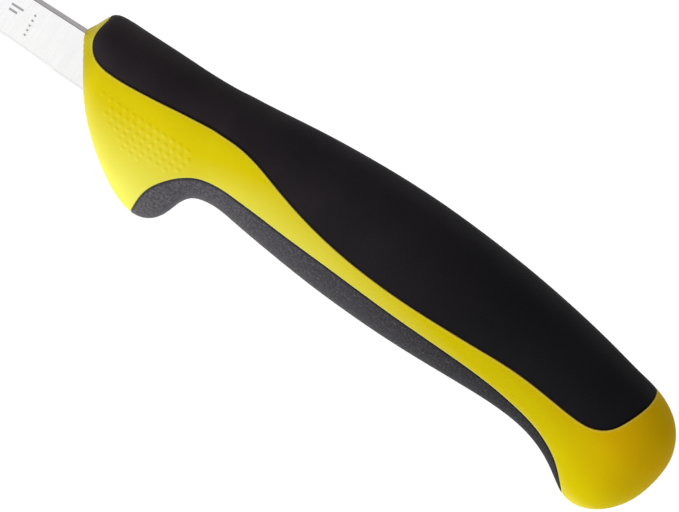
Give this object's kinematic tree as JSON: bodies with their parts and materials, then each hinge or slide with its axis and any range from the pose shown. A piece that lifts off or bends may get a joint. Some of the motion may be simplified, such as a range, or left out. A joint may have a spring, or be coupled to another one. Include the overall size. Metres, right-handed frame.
{
  "type": "boning knife",
  "caption": "Boning knife with a narrow upswept blade, hidden tang and a yellow moulded handle with a finger guard and soft dark grips along the back and belly.",
  "frame": {"origin": "on the blade's centre plane, where the straight spine enters the front of the handle", "axes": "+X from the point of the blade towards the butt of the handle, +Z from the cutting edge towards the spine, +Y across the blade"},
  "size_m": [0.2896, 0.0214, 0.0362],
  "materials": {
    "blade_steel": "fine satin grind, lengthwise on the spine and across the sides",
    "core_yellow": "moulded polypropylene, semi-gloss",
    "grip_black": "soft-touch thermoplastic rubber, velvety matte",
    "grip_grey": "soft thermoplastic rubber with a fine spark-eroded grain"
  },
  "bodies": {
    "root": {"blade_and_tang": "blade_steel", "handle_core": "core_yellow", "upper_grip": "grip_black", "lower_grip": "grip_grey"}
  },
  "joints": []
}
